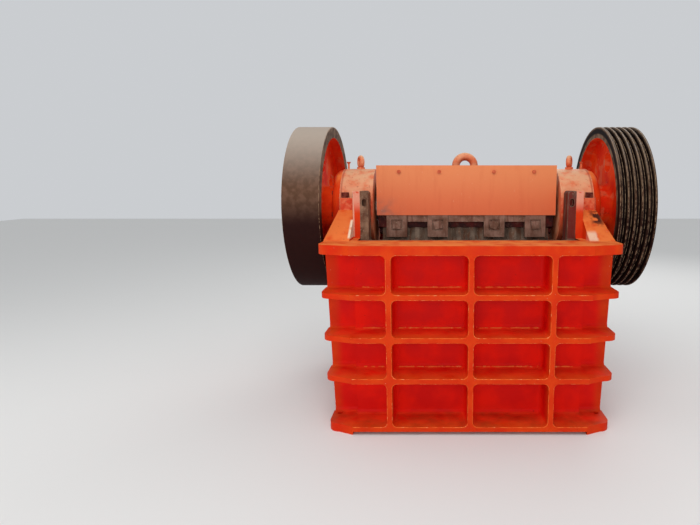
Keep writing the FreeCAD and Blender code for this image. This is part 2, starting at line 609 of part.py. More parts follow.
def bearing_cap():
    """The turned cover on the outer end of a housing."""
    disc = rod_x(HOUSING_OUTER, CAP_OUTER, SHAFT_DEPTH, SHAFT_Z, CAP_R)
    disc = fillet_where(disc, CAP_ROUND, lambda edge: edge.CenterOfMass.x > CAP_OUTER - 1)
    return disc.cut(rod_x(HOUSING_OUTER - 1, CAP_OUTER + 1, SHAFT_DEPTH, SHAFT_Z, SHAFT_R + RUNNING))


def housing_bolts():
    bolts = []
    seat = SHAFT_Z + LUG_HEIGHT
    for x in HOUSING_BOLT_X:
        for way in (-1, 1):
            depth = SHAFT_DEPTH + way * HOUSING_BOLT_REACH
            head = hex_bar(HOUSING_BOLT_HEAD, vec(x, depth, seat), HOUSING_BOLT_RISE, ALONG_Z,
                           HOUSING_BOLT_TURN)
            bolts.append(head.fuse(rod_z(x, depth, SHAFT_Z, seat + 1, HOUSING_BOLT_R)))
    return Part.makeCompound(bolts)


def grease_cup():
    seat = SHAFT_Z + HOUSING_R - CUP_SINK
    stem = rod_z(CUP_X, SHAFT_DEPTH, seat, CUP_TOP - CUP_RIM_R, CUP_STEM_R)
    rim = CUP_TOP - CUP_RIM_R
    cone = Part.makeCone(CUP_STEM_R, CUP_RIM_R, CUP_RIM_R, vec(CUP_X, SHAFT_DEPTH, rim), ALONG_Z)
    return stem.fuse(cone)


# --- shaft and wheels ---
def eccentric_shaft():
    journals = rod_x(-HUB_OUTER, HUB_OUTER, SHAFT_DEPTH, SHAFT_Z, SHAFT_R)
    return journals.fuse(rod_x(-ECCENTRIC_HALF, ECCENTRIC_HALF, AXIS_DEPTH, SHAFT_Z, ECCENTRIC_R))


def wheel(rim):
    """A right-hand wheel: a hub, a web with round holes and a rim whose outside is given."""
    web_middle = (WHEEL_INNER + WHEEL_OUTER) / 2
    web_in = web_middle - WEB_THICK / 2
    web_out = web_middle + WEB_THICK / 2
    rim_r = WHEEL_R - RIM_THICK
    bore = SHAFT_R + RUNNING
    profile = [(HUB_INNER, bore), (HUB_OUTER, bore), (HUB_OUTER, HUB_R), (web_out, HUB_R), (web_out, rim_r),
               (WHEEL_OUTER, rim_r)] + rim + [(WHEEL_INNER, rim_r), (web_in, rim_r), (web_in, HUB_R),
                                             (HUB_INNER, HUB_R)]
    solid = turned(profile)

    def is_web_corner(edge):
        circle = edge.Curve
        if not hasattr(circle, "Radius") or abs(edge.CenterOfMass.x - web_middle) > WEB_THICK / 2 + 1:
            return False
        return min(abs(circle.Radius - HUB_R), abs(circle.Radius - rim_r)) < 0.01

    solid = fillet_where(solid, WEB_FILLET, is_web_corner)
    hole_circle = (HUB_R + rim_r) / 2
    for i in range(WEB_HOLES):
        angle = math.radians(360 / WEB_HOLES * i + 90)
        depth = SHAFT_DEPTH + hole_circle * math.cos(angle)
        z = SHAFT_Z + hole_circle * math.sin(angle)
        solid = solid.cut(rod_x(WHEEL_INNER, WHEEL_OUTER, depth, z, WEB_HOLE_R))
    return solid


def flywheel():
    return other_side(wheel([(WHEEL_OUTER, WHEEL_R), (WHEEL_INNER, WHEEL_R)]))


def v_belt_pulley():
    rim = [(WHEEL_OUTER, WHEEL_R)]
    middle = WHEEL_OUTER - OUTER_RIDGE - GROOVE_TOP / 2
    for i in range(GROOVES):
        x = middle - i * GROOVE_PITCH
        rim += [(x + GROOVE_TOP / 2, WHEEL_R), (x + GROOVE_BOTTOM / 2, WHEEL_R - GROOVE_DEPTH),
                (x - GROOVE_BOTTOM / 2, WHEEL_R - GROOVE_DEPTH), (x - GROOVE_TOP / 2, WHEEL_R)]
    return wheel(rim + [(WHEEL_INNER, WHEEL_R)])


def shaft_end_plate():
    return rod_x(HUB_OUTER, WHEEL_OUTER, SHAFT_DEPTH, SHAFT_Z, END_PLATE_R)


# --- toggle, rods and springs ---
def toggle_ends():
    """(depth, z) of the toggle plate's two nose centres."""
    run = math.sqrt(TOGGLE_LENGTH ** 2 - TOGGLE_DROP ** 2)
    return (NOSE_DEPTH, TOGGLE_Z), (NOSE_DEPTH + run, TOGGLE_Z - TOGGLE_DROP)


def toggle_plate():
    front, rear = toggle_ends()
    across = ((front[1] - rear[1]) / TOGGLE_LENGTH * NOSE_R, (rear[0] - front[0]) / TOGGLE_LENGTH * NOSE_R)
    outline = [(front[0] + across[0], front[1] + across[1]), (rear[0] + across[0], rear[1] + across[1]),
               (rear[0] - across[0], rear[1] - across[1]), (front[0] - across[0], front[1] - across[1])]
    noses = [rod_x(-TOGGLE_HALF, TOGGLE_HALF, depth, z, NOSE_R) for depth, z in (front, rear)]
    return prism_x(-TOGGLE_HALF, TOGGLE_HALF, outline).fuse(noses)


def seat_block(d0, z):
    half = SEAT_HEIGHT / 2
    return block(-TOGGLE_HALF, TOGGLE_HALF, d0, d0 + SEAT_BLOCK, z - half, z + half)


def front_toggle_seat():
    groove = NOSE_DEPTH - NOSE_R - NOSE_GAP + FRONT_GROOVE_R
    tool = rod_x(-TOGGLE_HALF - 1, TOGGLE_HALF + 1, groove, TOGGLE_Z, FRONT_GROOVE_R)
    return seat_block(JAW_BACK, TOGGLE_Z).cut(tool)


def rear_seat_front():
    return toggle_ends()[1][0] + NOSE_R + NOSE_GAP - NOSE_SINK


def rear_toggle_seat():
    depth, z = toggle_ends()[1]
    tool = rod_x(-TOGGLE_HALF - 1, TOGGLE_HALF + 1, depth, z, NOSE_R + NOSE_GAP)
    return seat_block(rear_seat_front(), z).cut(tool)


def adjusting_block():
    z = toggle_ends()[1][1]
    half = BLOCK_HEIGHT / 2
    return block(-TOGGLE_HALF, TOGGLE_HALF, rear_seat_front() + SEAT_BLOCK, REAR_WALL_FRONT - SHIM_THICK,
                 z - half, z + half)


def shim_pack():
    z = toggle_ends()[1][1]
    half = BLOCK_HEIGHT / 2
    return block(-TOGGLE_HALF, TOGGLE_HALF, REAR_WALL_FRONT - SHIM_THICK, REAR_WALL_FRONT,
                 z - half, z + half)


def tension_rods():
    rods = []
    start = JAW_BACK - ROD_LUG_DEEP
    for side in (-1, 1):
        head = hex_bar(NUT_R, vec(side * ROD_X, start - NUT_LONG, ROD_Z), NUT_LONG, ALONG_Y)
        rods.append(head.fuse(rod_y(side * ROD_X, start - 1, ROD_END, ROD_Z, ROD_R)))
    return Part.makeCompound(rods)


def tension_springs():
    """Plain sleeves that hold the springs' place, clear of the cup floors by the jaw's stroke."""
    start = REAR_WALL_FACE + CUP_FLOOR + 2 * THROW + SWING_CLEAR
    springs = [rod_y(side * ROD_X, start, SPRING_END, ROD_Z, SPRING_R).cut(
        rod_y(side * ROD_X, start - 1, SPRING_END + 1, ROD_Z, SPRING_INNER)) for side in (-1, 1)]
    return Part.makeCompound(springs)


def spring_nuts():
    nuts = []
    for side in (-1, 1):
        x = side * ROD_X
        washer = rod_y(x, SPRING_END, SPRING_END + WASHER_THICK, ROD_Z, WASHER_R)
        nut = hex_bar(NUT_R, vec(x, SPRING_END + WASHER_THICK - 1, ROD_Z), NUT_LONG + 1, ALONG_Y)
        nuts.append(washer.fuse(nut).cut(rod_y(x, SPRING_END - 1, ROD_END, ROD_Z, ROD_R + RUNNING)))
    return Part.makeCompound(nuts)


def spring_cups():
    cups = []
    inner = SPRING_R + THROW + SWING_CLEAR
    passage = ROD_R + THROW + SWING_CLEAR
    end = REAR_WALL_FACE + CUP_DEEP
    for side in (-1, 1):
        x = side * ROD_X
        cup = rod_y(x, REAR_WALL_FACE, end, ROD_Z, inner + CUP_WALL)
        cups.append(cup.cut([rod_y(x, REAR_WALL_FACE + CUP_FLOOR, end + 1, ROD_Z, inner),
                             rod_y(x, REAR_WALL_FACE - 1, end, ROD_Z, passage)]))
    return Part.makeCompound(cups)


def pieces():
    """Every piece by name."""
    right_wall = side_wall()
    housing = bearing_housing()
    cap = bearing_cap()
    bolts = housing_bolts()
    eye_seat = SHAFT_Z + HOUSING_R - EYE_SINK
    eye = lifting_eye(housing_middle(), SHAFT_DEPTH, eye_seat, EYE_COLLAR_R, EYE_RING_R, EYE_BAR_R,
                      EYE_TOP, 90.0 - EYE_TURN)
    cup = grease_cup()
    cheek = cheek_plate()
    end_plate = shaft_end_plate()
    return {
        "front_wall": front_wall(),
        "rear_wall": rear_wall(),
        "right_side_wall": right_wall,
        "left_side_wall": other_side(right_wall),
        "fixed_jaw_plate": fixed_jaw_plate(),
        "right_cheek_plate": cheek,
        "left_cheek_plate": other_side(cheek),
        "right_bearing_housing": housing,
        "left_bearing_housing": other_side(housing),
        "right_bearing_cap": cap,
        "left_bearing_cap": other_side(cap),
        "right_housing_bolts": bolts,
        "left_housing_bolts": other_side(bolts),
        "right_housing_eye_bolt": eye,
        "left_housing_eye_bolt": other_side(eye),
        "right_grease_cup": cup,
        "left_grease_cup": other_side(cup),
        "eccentric_shaft": eccentric_shaft(),
        "flywheel": flywheel(),
        "v_belt_pulley": v_belt_pulley(),
        "pulley_end_plate": end_plate,
        "flywheel_end_plate": other_side(end_plate),
        "swing_jaw": swing_jaw(),
        "moving_jaw_plate": moving_jaw_plate(),
        "jaw_clamp_bar": jaw_clamp_bar(),
        "clamp_bolts": clamp_bolts(),
        "head_cover": head_cover(),
        "cover_bolts": cover_bolts(),
        "head_lifting_eye": lifting_eye(0, AXIS_DEPTH, SHAFT_Z + HEAD_R - HEAD_EYE_SINK, HEAD_EYE_COLLAR_R,
                                        HEAD_EYE_RING_R, HEAD_EYE_BAR_R, HEAD_EYE_TOP, 0.0),
        "front_toggle_seat": front_toggle_seat(),
        "toggle_plate": toggle_plate(),
        "rear_toggle_seat": rear_toggle_seat(),
        "adjusting_block": adjusting_block(),
        "shim_pack": shim_pack(),
        "tension_rods": tension_rods(),
        "tension_springs": tension_springs(),
        "spring_nuts": spring_nuts(),
        "spring_cups": spring_cups(),
    }


os.makedirs("parts", exist_ok=True)
for name, shape in pieces().items():
    volume = sum(solid.Volume for solid in shape.Solids)
    print(f"{name}: {len(shape.Solids)} solids, {volume / 1e6:.2f} litres, valid {shape.isValid()}")
    shape.exportStep(f"parts/{name}.step")
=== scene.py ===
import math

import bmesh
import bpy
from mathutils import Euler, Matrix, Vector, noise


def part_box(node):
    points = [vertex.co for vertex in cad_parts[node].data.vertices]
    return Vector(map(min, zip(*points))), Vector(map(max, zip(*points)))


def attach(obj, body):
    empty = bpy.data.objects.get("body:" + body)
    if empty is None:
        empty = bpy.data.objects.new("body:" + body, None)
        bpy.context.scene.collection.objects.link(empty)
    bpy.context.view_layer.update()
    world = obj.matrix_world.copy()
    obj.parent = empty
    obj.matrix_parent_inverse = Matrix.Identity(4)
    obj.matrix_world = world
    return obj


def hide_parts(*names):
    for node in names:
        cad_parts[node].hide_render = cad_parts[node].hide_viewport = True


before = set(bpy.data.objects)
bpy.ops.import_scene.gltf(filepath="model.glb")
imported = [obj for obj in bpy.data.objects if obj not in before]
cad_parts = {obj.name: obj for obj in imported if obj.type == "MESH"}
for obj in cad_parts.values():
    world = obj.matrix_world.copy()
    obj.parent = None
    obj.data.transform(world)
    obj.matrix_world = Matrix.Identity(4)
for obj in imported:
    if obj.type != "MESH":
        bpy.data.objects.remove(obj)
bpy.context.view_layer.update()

# %% [markdown]
# # A jaw crusher, finished for the eye
# The CAD frame holds every part of the crusher in its true place. This lesson gives those parts the look
# of painted and worn cast steel, and adds the small things that a maker leaves out of the structure:
# rounded casting edges, the ragged line where a mould leaked, wound springs, bolts in the bearing caps.
# Sizes below are in millimetres and become metres with `MM`, because the frame is in metres.

MM = 0.001
WHEEL_LOW, WHEEL_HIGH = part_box("v_belt_pulley")
WHEEL_CENTRE = (WHEEL_LOW + WHEEL_HIGH) / 2
WHEEL_RADIUS = (WHEEL_HIGH.z - WHEEL_LOW.z) / 2
SHAFT_AXIS = Vector((0, WHEEL_CENTRE.y, WHEEL_CENTRE.z))

# %% [markdown]
# ## The paint shop's two helpers
# A hex colour is how a paint is usually written down, but Blender mixes light in linear values, so one
# function turns the first into the second. A material is a small tree of nodes, and one function adds a
# node, sets it and links it. With only these two, every material below reads from the top down, as a
# recipe.

# %% Colour and node helpers
def colour(text):
    channels = [int(text[i:i + 2], 16) / 255 for i in (1, 3, 5)]
    linear = [c / 12.92 if c <= 0.04045 else ((c + 0.055) / 1.055) ** 2.4 for c in channels]
    return (*linear, 1.0)


def add(tree, kind, inputs, **settings):
    """A new node. Each input is a constant or another socket; settings are the node's own choices."""
    node = tree.nodes.new("ShaderNode" + kind)
    for name, value in settings.items():
        setattr(node, name, value)
    for name, value in inputs.items():
        if isinstance(value, bpy.types.NodeSocket):
            tree.links.new(value, node.inputs[name])
        else:
            node.inputs[name].default_value = value
    return node.outputs


def new_material(name, roughness=0.5, metallic=0.0, gloss=0.2):
    material = bpy.data.materials.new(name)
    material.use_nodes = True
    tree = material.node_tree
    shader = tree.nodes["Principled BSDF"]
    shader.inputs["Roughness"].default_value = roughness
    shader.inputs["Metallic"].default_value = metallic
    shader.inputs["Specular IOR Level"].default_value = gloss
    return material, tree, shader


print("a safety red turns into", [round(c, 3) for c in colour("#D93C0E")])

# %% [markdown]
# ## What every rough casting shares
# Sand-cast steel has two reliefs: a grain of about 4 mm from the sand, and slow waves of about 90 mm from
# a mould that was rammed by hand. Both are bump, because they are shallower than the paint film is wide.
# `blend` lays one colour on another where a mask is high, and `between` turns any reading into such a
# mask.

# %% Masks, layers and casting relief
SAND_GRAIN = 4 * MM
MOULD_WAVE = 90 * MM


def between(tree, value, low, high):
    """0 below low, 1 above high, and a smooth ramp between them."""
    return add(tree, "MapRange", {"Value": value, "From Min": low, "From Max": high},
               interpolation_type="SMOOTHSTEP")["Result"]


def both(tree, first, second):
    return add(tree, "Math", {0: first, 1: second}, operation="MULTIPLY")[0]


def either(tree, first, second):
    return add(tree, "Math", {0: first, 1: second}, operation="MAXIMUM")[0]


def blend(tree, mask, under, over):
    return add(tree, "Mix", {0: mask, 6: under, 7: over}, data_type="RGBA")[2]


def spots(tree, place, size, low, high, detail=3.0):
    """Irregular patches of about one size; a higher `low` leaves fewer of them."""
    cloud = add(tree, "TexNoise", {"Vector": place, "Scale": 1 / size, "Detail": detail})["Fac"]
    return between(tree, cloud, low, high)


def casting_relief(tree, shader, place, grain_depth=0.5 * MM, wave_depth=2.0 * MM):
    waves = add(tree, "TexNoise", {"Vector": place, "Scale": 1 / MOULD_WAVE, "Detail": 2.0})["Fac"]
    grain = add(tree, "TexNoise", {"Vector": place, "Scale": 1 / SAND_GRAIN, "Detail": 4.0})["Fac"]
    slow = add(tree, "Bump", {"Height": waves, "Distance": wave_depth, "Strength": 0.6})["Normal"]
    fine = add(tree, "Bump", {"Height": grain, "Distance": grain_depth, "Strength": 0.7, "Normal": slow})
    tree.links.new(fine["Normal"], shader.inputs["Normal"])


print("grain", SAND_GRAIN, "m and waves", MOULD_WAVE, "m")

# %% [markdown]
# ## Alkyd enamel on cast steel
# The frame was brushed with a red-orange alkyd enamel. The outer edges of the ribs are painted orange as
# painted light, while the recessed cells are painted a deep red as painted shade; dust and a painted top
# light lighten whatever faces up, and mud dries brown in the lowest cells. Inside the mouth the coat is
# painted a dark maroon as painted shade. One recipe makes the paint for all of it. `wear` is for the thin
# strips along the casting's edges, where the film has rubbed off and shows lighter. `bare_tops` adds the
# chipped cream coat on the uprights beside the mouth.

# %% Frame enamel
FRAME_LOW, FRAME_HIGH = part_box("front_wall")
RIB_FACE = -FRAME_LOW.y                # how far the front ribs' edges are from the middle
CELL_FLOOR = RIB_FACE - 170 * MM       # and the walls between them
FLANGE_LEVEL = FRAME_HIGH.z
MOUTH_HALF_WIDTH = 600 * MM            # inner faces of the side walls
MOUTH_HALF_DEPTH = 430 * MM            # inner faces of the front and rear walls


def frame_enamel(name, wear=False, bare_tops=False):
    """Brushed alkyd enamel on sand-cast steel: satin, uneven, painted lighter where light reaches it and
    deeper red in its recesses.
    """
    material, tree, shader = new_material(name, roughness=0.5, gloss=0.1)
    place = add(tree, "TexCoord", {})
    x, y, z = add(tree, "SeparateXYZ", {"Vector": place["Object"]}).values()
    up = add(tree, "SeparateXYZ", {"Vector": place["Normal"]})["Z"]
    across = add(tree, "Math", {0: x}, operation="ABSOLUTE")[0]
    along = add(tree, "Math", {0: y}, operation="ABSOLUTE")[0]
    point = place["Object"]

    cloudy = spots(tree, point, 160 * MM, 0.35, 0.7)
    # Painted light and shade: the recessed cells are painted a deep red, the outer edges and flange top an
    # orange.
    recess_shade_red = blend(tree, cloudy, colour("#D20C05"), colour("#EA1A07"))
    outer_light_orange = blend(tree, spots(tree, point, 110 * MM, 0.35, 0.7), colour("#CC2C06"), colour("#D43C08"))
    outer = either(tree, between(tree, along, CELL_FLOOR + 60 * MM, RIB_FACE - 10 * MM),
                   between(tree, across, 680 * MM, 735 * MM))
    outer = either(tree, outer, between(tree, z, FLANGE_LEVEL - 12 * MM, FLANGE_LEVEL))
    shade = blend(tree, outer, recess_shade_red, outer_light_orange)

    facing_sky = between(tree, up, 0.5, 0.9)
    more_on_flange = add(tree, "MapRange", {"Value": z, "From Min": FLANGE_LEVEL - 60 * MM,
                                            "From Max": FLANGE_LEVEL - 20 * MM,
                                            "To Min": 0.12, "To Max": 0.85})["Result"]
    # Dust and painted top light: faces that look up, most of all near the flange, are painted a lighter
    # orange in patches.
    dust_and_top_light = both(tree, both(tree, facing_sky, spots(tree, point, 70 * MM, 0.2, 0.6)), more_on_flange)
    shade = blend(tree, dust_and_top_light, shade, colour("#EA8240"))
    settled = both(tree, either(tree, facing_sky, 0.18), spots(tree, point, 90 * MM, 0.35, 0.75))
    low_mud = both(tree, between(tree, z, 120 * MM, 50 * MM), settled)
    shade = blend(tree, both(tree, low_mud, 0.45), shade, colour("#7A3010"))
    grime = both(tree, spots(tree, point, 22 * MM, 0.7, 0.78), 0.35)
    shade = blend(tree, grime, shade, colour("#6E140A"))
    chips = both(tree, spots(tree, point, 9 * MM, 0.73, 0.76), outer)
    shade = blend(tree, both(tree, chips, 0.7), shade, colour("#D8C4AE"))

    if wear:
        rubbed = spots(tree, point, 26 * MM, 0.36, 0.58)
        shade = blend(tree, rubbed, shade, colour("#E4682C"))
        bare = spots(tree, point, 14 * MM, 0.58, 0.68)
        shade = blend(tree, both(tree, bare, 0.7), shade, colour("#EE9E66"))

    # Painted shade: inside the mouth, below the flange, the frame is painted a dark maroon.
    mouth = both(tree, between(tree, across, MOUTH_HALF_WIDTH + 4 * MM, MOUTH_HALF_WIDTH),
                 between(tree, along, MOUTH_HALF_DEPTH + 4 * MM, MOUTH_HALF_DEPTH))
    painted_chamber_shade = both(tree, mouth, between(tree, z, FLANGE_LEVEL + 30 * MM, FLANGE_LEVEL + 10 * MM))
    shade = blend(tree, both(tree, painted_chamber_shade, 0.85), shade, colour("#4A0E0A"))

    if bare_tops:
        shade = blend(tree, cream_coat(tree, x, y, z, point), shade, colour("#E8CDB0"))
        shade = blend(tree, incline_smudge(tree, x, y, z, point), shade, colour("#4A2218"))

    tree.links.new(shade, shader.inputs["Base Color"])
    satin = add(tree, "MapRange", {"Value": cloudy, "To Min": 0.5, "To Max": 0.7})["Result"]
    tree.links.new(satin, shader.inputs["Roughness"])
    casting_relief(tree, shader, point)
    return material


# %% [markdown]
# The cream coat is an older paint that survives on the front edges of the two uprights and on the inner
# web of the left incline. It is a box-shaped region in the part's own coordinates, broken up by noise.

# %% Old cream coat and the oily smudge
UPRIGHT_FRONT = -325 * MM              # front edge of the uprights
INCLINE_FRONT = -465 * MM              # front of the inclined webs


def inside(tree, value, low, high, soft=8 * MM):
    """1 where the value lies from low to high, with soft ends."""
    above_low = between(tree, value, low - soft, low + soft)
    return both(tree, above_low, between(tree, value, high + soft, high - soft))


def cream_coat(tree, x, y, z, point):
    across = add(tree, "Math", {0: x}, operation="ABSOLUTE")[0]
    upright = both(tree, inside(tree, across, 590 * MM, 650 * MM),
                   both(tree, inside(tree, y, UPRIGHT_FRONT - 10 * MM, UPRIGHT_FRONT + 45 * MM),
                        between(tree, z, 1130 * MM, 1215 * MM)))
    left_web = both(tree, inside(tree, x, -652 * MM, -632 * MM, 4 * MM),
                    both(tree, inside(tree, y, INCLINE_FRONT + 20 * MM, UPRIGHT_FRONT),
                         between(tree, z, FLANGE_LEVEL + 6 * MM, FLANGE_LEVEL + 12 * MM)))
    right_patch = both(tree, inside(tree, x, 640 * MM, 690 * MM),
                       both(tree, inside(tree, y, INCLINE_FRONT, INCLINE_FRONT + 60 * MM, 15 * MM),
                            between(tree, z, 985 * MM, 1000 * MM)))
    flaking = spots(tree, point, 30 * MM, 0.3, 0.42, detail=6.0)
    thin_coats = either(tree, both(tree, upright, 0.42), both(tree, right_patch, 0.7))
    return both(tree, either(tree, thin_coats, left_web), flaking)


def incline_smudge(tree, x, y, z, point):
    region = both(tree, inside(tree, x, 690 * MM, 750 * MM, 20 * MM),
                  both(tree, inside(tree, y, -360 * MM, -260 * MM, 30 * MM),
                       between(tree, z, 1040 * MM, 1080 * MM)))
    return both(tree, region, spots(tree, point, 40 * MM, 0.4, 0.55))


frame_paint = frame_enamel("brushed_alkyd_enamel")
frame_edges = frame_enamel("brushed_alkyd_enamel_rubbed_edges", wear=True)
side_paint = frame_enamel("brushed_alkyd_enamel_over_cream", bare_tops=True)
print("enamels:", frame_paint.name, frame_edges.name, side_paint.name)

# %% [markdown]
# ## Housings, caps and the head cover
# The bearing housings were sprayed in a paler batch, which has paled to salmon; they are painted with a
# pale cream sky reflection on top and with shade underneath. The cover is rolled plate, so its enamel has
# no sand grain: as painted light it is paler at the top, where it bends towards the sky, and a stronger
# orange below, and one lower corner is smudged with grease.

# %% Salmon enamel and sprayed plate
HOUSING_LOW, HOUSING_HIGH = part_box("left_bearing_housing")
COVER_LOW, COVER_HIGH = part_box("head_cover")
LUG_TOP = 1218 * MM                    # top of the lugs that the housing bolts hold down


def housing_enamel(name, wear=False):
    """Bleached enamel on cast steel: painted pale cream on top as a sky reflection and darker underneath as
    shade, with rust-brown specks of greasy dust.
    """
    material, tree, shader = new_material(name, roughness=0.55)
    place = add(tree, "TexCoord", {})
    point = place["Object"]
    up = add(tree, "SeparateXYZ", {"Vector": place["Normal"]})["Z"]
    x, y, z = add(tree, "SeparateXYZ", {"Vector": point}).values()
    across = add(tree, "Math", {0: x}, operation="ABSOLUTE")[0]
    shade = blend(tree, spots(tree, point, 80 * MM, 0.35, 0.65), colour("#D8683E"), colour("#E2926A"))
    # Painted reflection: faces that look up are painted a pale cream in patches.
    painted_top_sheen = both(tree, between(tree, up, 0.1, 0.95), spots(tree, point, 50 * MM, 0.3, 0.62))
    shade = blend(tree, painted_top_sheen, shade, colour("#DCA67E"))
    behind_shaft = add(tree, "Math", {0: y, 1: SHAFT_AXIS.y}, operation="SUBTRACT")[0]
    lugs = both(tree, between(tree, z, LUG_TOP + 2 * MM, LUG_TOP - 4 * MM),
                between(tree, behind_shaft, -200 * MM, -245 * MM))
    shade = blend(tree, lugs, shade, blend(tree, spots(tree, point, 30 * MM, 0.4, 0.65), colour("#D2401E"),
                                           colour("#E07048")))
    machined_joint = inside(tree, across, 722 * MM, 733 * MM, 3 * MM)
    shade = blend(tree, both(tree, machined_joint, 0.6), shade, colour("#A84A30"))
    # Painted shade: faces that look down are painted a darker red.
    under = both(tree, between(tree, up, 0.0, -0.7), 0.6)
    shade = blend(tree, under, shade, colour("#B8442A"))
    specks = both(tree, spots(tree, point, 14 * MM, 0.62, 0.7), 0.5)
    shade = blend(tree, specks, shade, colour("#9A4A34"))
    if wear:
        shade = blend(tree, spots(tree, point, 16 * MM, 0.4, 0.6), shade, colour("#F2D8C0"))
    tree.links.new(shade, shader.inputs["Base Color"])
    casting_relief(tree, shader, point, grain_depth=0.4 * MM, wave_depth=1.5 * MM)
    return material


def cover_enamel():
    """Enamel sprayed on rolled plate: smooth, painted paler towards the top as painted light, with grease
    smeared on a low corner.
    """
    material, tree, shader = new_material("sprayed_enamel_on_plate", roughness=0.45)
    point = add(tree, "TexCoord", {})["Object"]
    place = add(tree, "SeparateXYZ", {"Vector": point})
    x, z = place["X"], place["Z"]
    # Painted light: the plate is painted paler towards its top.
    paler_mask = between(tree, z, COVER_LOW.z, COVER_HIGH.z)
    shade = blend(tree, paler_mask, colour("#DC683C"), colour("#DE8250"))
    streaked = add(tree, "Mapping", {"Vector": point, "Scale": (1.0, 1.0, 0.12)})["Vector"]
    runs = both(tree, spots(tree, streaked, 22 * MM, 0.5, 0.75), 0.12)
    shade = blend(tree, runs, shade, colour("#C24A26"))
    corner = both(tree, between(tree, x, -340 * MM, -500 * MM),
                  between(tree, z, COVER_LOW.z + 130 * MM, COVER_LOW.z + 10 * MM))
    grease = both(tree, both(tree, corner, spots(tree, point, 70 * MM, 0.3, 0.7)), 0.75)
    shade = blend(tree, grease, shade, colour("#7C6258"))
    scratches = both(tree, spots(tree, point, 8 * MM, 0.7, 0.74), 0.6)
    shade = blend(tree, scratches, shade, colour("#EAC4A6"))
    tree.links.new(shade, shader.inputs["Base Color"])
    dents = add(tree, "TexNoise", {"Vector": point, "Scale": 1 / (120 * MM), "Detail": 3.0})["Fac"]
    flow = add(tree, "Bump", {"Height": dents, "Distance": 3 * MM, "Strength": 0.5})["Normal"]
    tree.links.new(flow, shader.inputs["Normal"])
    return material


def jaw_enamel():
    """The swing jaw's old coat: painted dark maroon as painted shade, and packed with stone dust."""
    material, tree, shader = new_material("shade_dark_enamel_on_swing_jaw", roughness=0.6)
    point = add(tree, "TexCoord", {})["Object"]
    # Painted shade: the whole jaw is painted a dark maroon, with stone-dust specks on top.
    shade = blend(tree, spots(tree, point, 70 * MM, 0.35, 0.65), colour("#3A0C08"), colour("#6A160C"))
    shade = blend(tree, both(tree, spots(tree, point, 16 * MM, 0.55, 0.7), 0.5), shade, colour("#6E4A38"))
    tree.links.new(shade, shader.inputs["Base Color"])
    casting_relief(tree, shader, point)
    return material


jaw_paint = jaw_enamel()
housing_paint = housing_enamel("bleached_enamel_on_casting")
housing_edges = housing_enamel("bleached_enamel_rubbed_edges", wear=True)
cover_paint = cover_enamel()
print("housings run from", round(HOUSING_LOW.z, 3), "to", round(HOUSING_HIGH.z, 3), "m up")

# %% [markdown]
# ## Wear steel, turned iron and bolts
# The jaw plates, cheeks and clamp bar are manganese steel, which is never painted for long: stone scours
# it to a brown-grey with rust in the hollows, and dust runs down it in streaks. The wheels are grey iron,
# painted on the dish but bare on the turned rim, which carries a painted sky reflection on top and
# painted shade on its lower half, and whose grooves are near black.

# %% Manganese steel
def wear_steel(name, dark, light, rust, paint=None):
    """Cast manganese steel under stone: dull, brown-grey, rusty in its hollows and streaked downwards."""
    material, tree, shader = new_material(name, roughness=0.68, metallic=0.35)
    point = add(tree, "TexCoord", {})["Object"]
    hanging = add(tree, "Mapping", {"Vector": point, "Scale": (1.0, 1.0, 0.15)})["Vector"]
    shade = blend(tree, spots(tree, point, 60 * MM, 0.3, 0.7), colour(dark), colour(light))
    shade = blend(tree, both(tree, spots(tree, hanging, 18 * MM, 0.45, 0.7), 0.7), shade, colour(rust))
    shade = blend(tree, both(tree, spots(tree, point, 7 * MM, 0.6, 0.7), 0.6), shade, colour("#A58C74"))
    if paint:
        left = both(tree, spots(tree, hanging, 45 * MM, 0.38, 0.52), 0.85)
        shade = blend(tree, left, shade, colour(paint))
    tree.links.new(shade, shader.inputs["Base Color"])
    casting_relief(tree, shader, point, grain_depth=0.9 * MM, wave_depth=2.5 * MM)
    return material


manganese = wear_steel("cast_manganese_steel", "#5C4A3E", "#7E6A5A", "#6A3A22")
left_cheek_steel = wear_steel("scoured_manganese_steel", "#5E4030", "#94745C", "#5E301C")
right_cheek_steel = wear_steel("painted_manganese_steel", "#54413A", "#75604F", "#5A2A1C", paint="#6E1A12")
clamp_steel = wear_steel("rough_cast_clamp_steel", "#6E4A3A", "#967060", "#64382A")

# %% Grey iron of the wheels
RIM_INSIDE = WHEEL_RADIUS - 65 * MM


